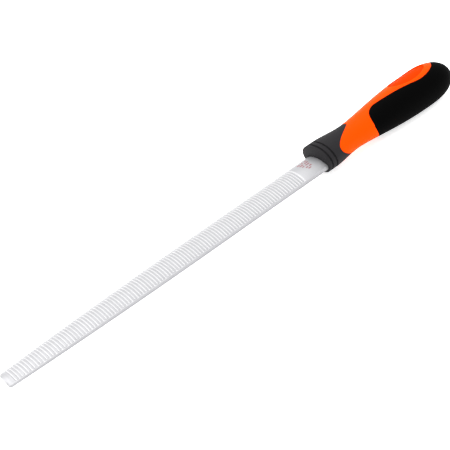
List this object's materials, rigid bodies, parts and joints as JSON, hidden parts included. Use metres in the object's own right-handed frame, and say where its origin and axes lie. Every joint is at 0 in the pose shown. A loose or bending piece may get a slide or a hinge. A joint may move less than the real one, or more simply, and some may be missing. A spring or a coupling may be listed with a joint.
{
  "type": "wood rasp",
  "caption": "Half-round wood rasp with continuous rows of teeth across the blade, smooth heel, pressed-in tang and a swelling two-component handle.",
  "frame": {"origin": "centre of the uncut heel on the flat side of the blade, where a guide or a jig clamps", "axes": "+X along the blade towards its tip, +Y across the blade, +Z out of the flat side through the blade to the convex side"},
  "size_m": [0.3745, 0.0326, 0.0272],
  "materials": {
    "blade_steel": "hardened tool steel, bright and finely ground, with milled rows of teeth",
    "core_plastic": "orange moulded polypropylene, half gloss",
    "grip_rubber": "black soft thermoplastic elastomer, fine matt texture"
  },
  "bodies": {
    "root": {"rasp_blade": "blade_steel", "handle_core": "core_plastic", "front_collar": "grip_rubber", "rear_grip": "grip_rubber"}
  },
  "joints": []
}
